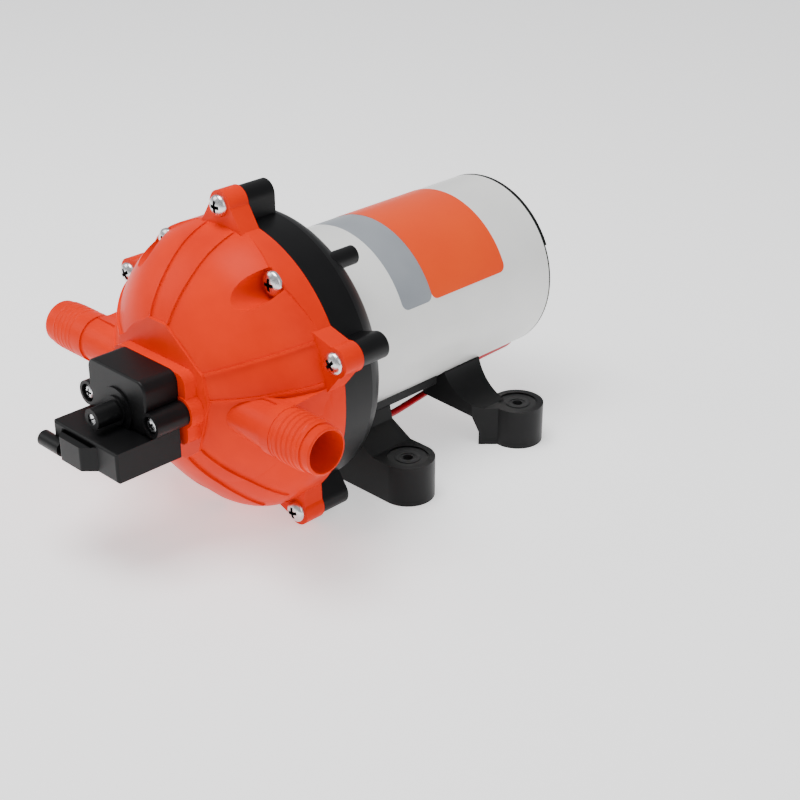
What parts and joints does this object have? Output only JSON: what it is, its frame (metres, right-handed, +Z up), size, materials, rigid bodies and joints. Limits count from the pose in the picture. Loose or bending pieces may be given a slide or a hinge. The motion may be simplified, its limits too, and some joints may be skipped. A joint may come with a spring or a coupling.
{
  "type": "caravan water pump",
  "caption": "Diaphragm water pump for a caravan: orange domed head with side ports, black housing, pressure switch, white motor on a black base with rubber feet",
  "frame": {"origin": "on the floor, at the centre of the four foot holes", "axes": "+X along the ports to the outlet, +Y along the motor shaft away from the pump head, +Z up"},
  "size_m": [0.172, 0.252, 0.1408],
  "materials": {
    "head_orange": "satin moulded",
    "black_plastic": "fine moulded grain",
    "can_white": "satin paint",
    "label": "printed film",
    "screw_steel": "bright zinc",
    "machined_steel": "ground",
    "core_steel": "varnished stack",
    "copper": "enamelled wire",
    "brass": "stamped",
    "magnet": "sintered",
    "carbon": "pressed graphite",
    "white_plastic": "acetal",
    "rubber": "moulded",
    "foot_rubber": "moulded",
    "lead_red": "extruded insulation"
  },
  "bodies": {
    "pump": {"pump_head": "head_orange", "valve_plate": "white_plastic", "inlet_valves": "rubber", "outlet_valve": "rubber", "head_seal": "rubber", "diaphragm": "rubber", "housing": "black_plastic", "tab_screws": "screw_steel", "channel_screws": "screw_steel", "motor_screws": "screw_steel", "motor_can": "can_white", "front_plate": "machined_steel", "front_bearing": "machined_steel", "rear_bearing": "machined_steel", "magnets": "magnet", "brush_card": "black_plastic", "brush_holders": "brass", "brush_spring_top": "machined_steel", "brush_spring_bottom": "machined_steel", "rear_cap": "black_plastic", "motor_grommet": "rubber", "through_bolts": "screw_steel", "can_label": "label", "switch_body": "black_plastic", "switch_screws": "screw_steel", "switch_diaphragm": "rubber", "switch_box": "black_plastic", "switch_lid": "black_plastic", "microswitch": "black_plastic", "terminals": "brass", "base": "black_plastic", "foot_bushes": "foot_rubber", "base_screws": "screw_steel", "red_lead": "lead_red"},
    "rotor": {"cam": "machined_steel", "motor_shaft": "machined_steel", "armature_core": "core_steel", "armature_coils": "copper", "commutator": "brass"},
    "wobbler": {"diaphragm_pads": "rubber", "pistons": "white_plastic", "piston_screws": "screw_steel", "wobble_plate": "white_plastic", "cam_bearing": "machined_steel"},
    "top_brush": {"brush_top": "carbon"},
    "bottom_brush": {"brush_bottom": "carbon"},
    "adjuster": {"adjusting_screw": "screw_steel"},
    "seat": {"spring_seat": "brass", "switch_spring": "machined_steel"},
    "plunger": {"plunger": "white_plastic"},
    "button": {"microswitch_button": "carbon"}
  },
  "joints": [
    {"name": "motor_spin", "type": "hinge", "parent": "pump", "child": "rotor", "pos_m": [0, -0.0911, 0.0654], "axis": [0, 1, 0], "continuous": true},
    {"name": "wobble", "type": "hinge", "parent": "rotor", "child": "wobbler", "pos_m": [0, -0.0831, 0.0654], "axis": [0, 0.9981, 0.061], "continuous": true},
    {"name": "brush_top_slide", "type": "slide", "parent": "pump", "child": "top_brush", "axis": [0, 0, 1], "range_m": [0, 0.002], "stiffness_N_per_m": 300, "springref_m": -0.004, "deforming": ["brush_spring_top"]},
    {"name": "brush_bottom_slide", "type": "slide", "parent": "pump", "child": "bottom_brush", "axis": [0, 0, -1], "range_m": [0, 0.002], "stiffness_N_per_m": 300, "springref_m": -0.004, "deforming": ["brush_spring_bottom"]},
    {"name": "adjusting_screw_turn", "type": "hinge", "parent": "pump", "child": "adjuster", "pos_m": [0, -0.1511, 0.0638], "axis": [0, 1, 0], "range_deg": [0, 540]},
    {"name": "spring_seat_slide", "type": "slide", "parent": "pump", "child": "seat", "axis": [0, -1, 0], "range_m": [0, 0.00105]},
    {"name": "plunger_slide", "type": "slide", "parent": "pump", "child": "plunger", "axis": [0, -1, 0], "range_m": [0, 0.0008], "stiffness_N_per_m": 900, "springref_m": -0.003},
    {"name": "microswitch_button_slide", "type": "slide", "parent": "pump", "child": "button", "axis": [0, -1, 0], "range_m": [0, 0.0008]}
  ],
  "couplings": [
    {"joint": "wobble", "follows": "motor_spin", "ratio": -1},
    {"joint": "adjusting_screw_turn", "follows": "spring_seat_slide", "rad_per_m": 8975},
    {"joint": "microswitch_button_slide", "follows": "plunger_slide", "ratio": 1}
  ]
}
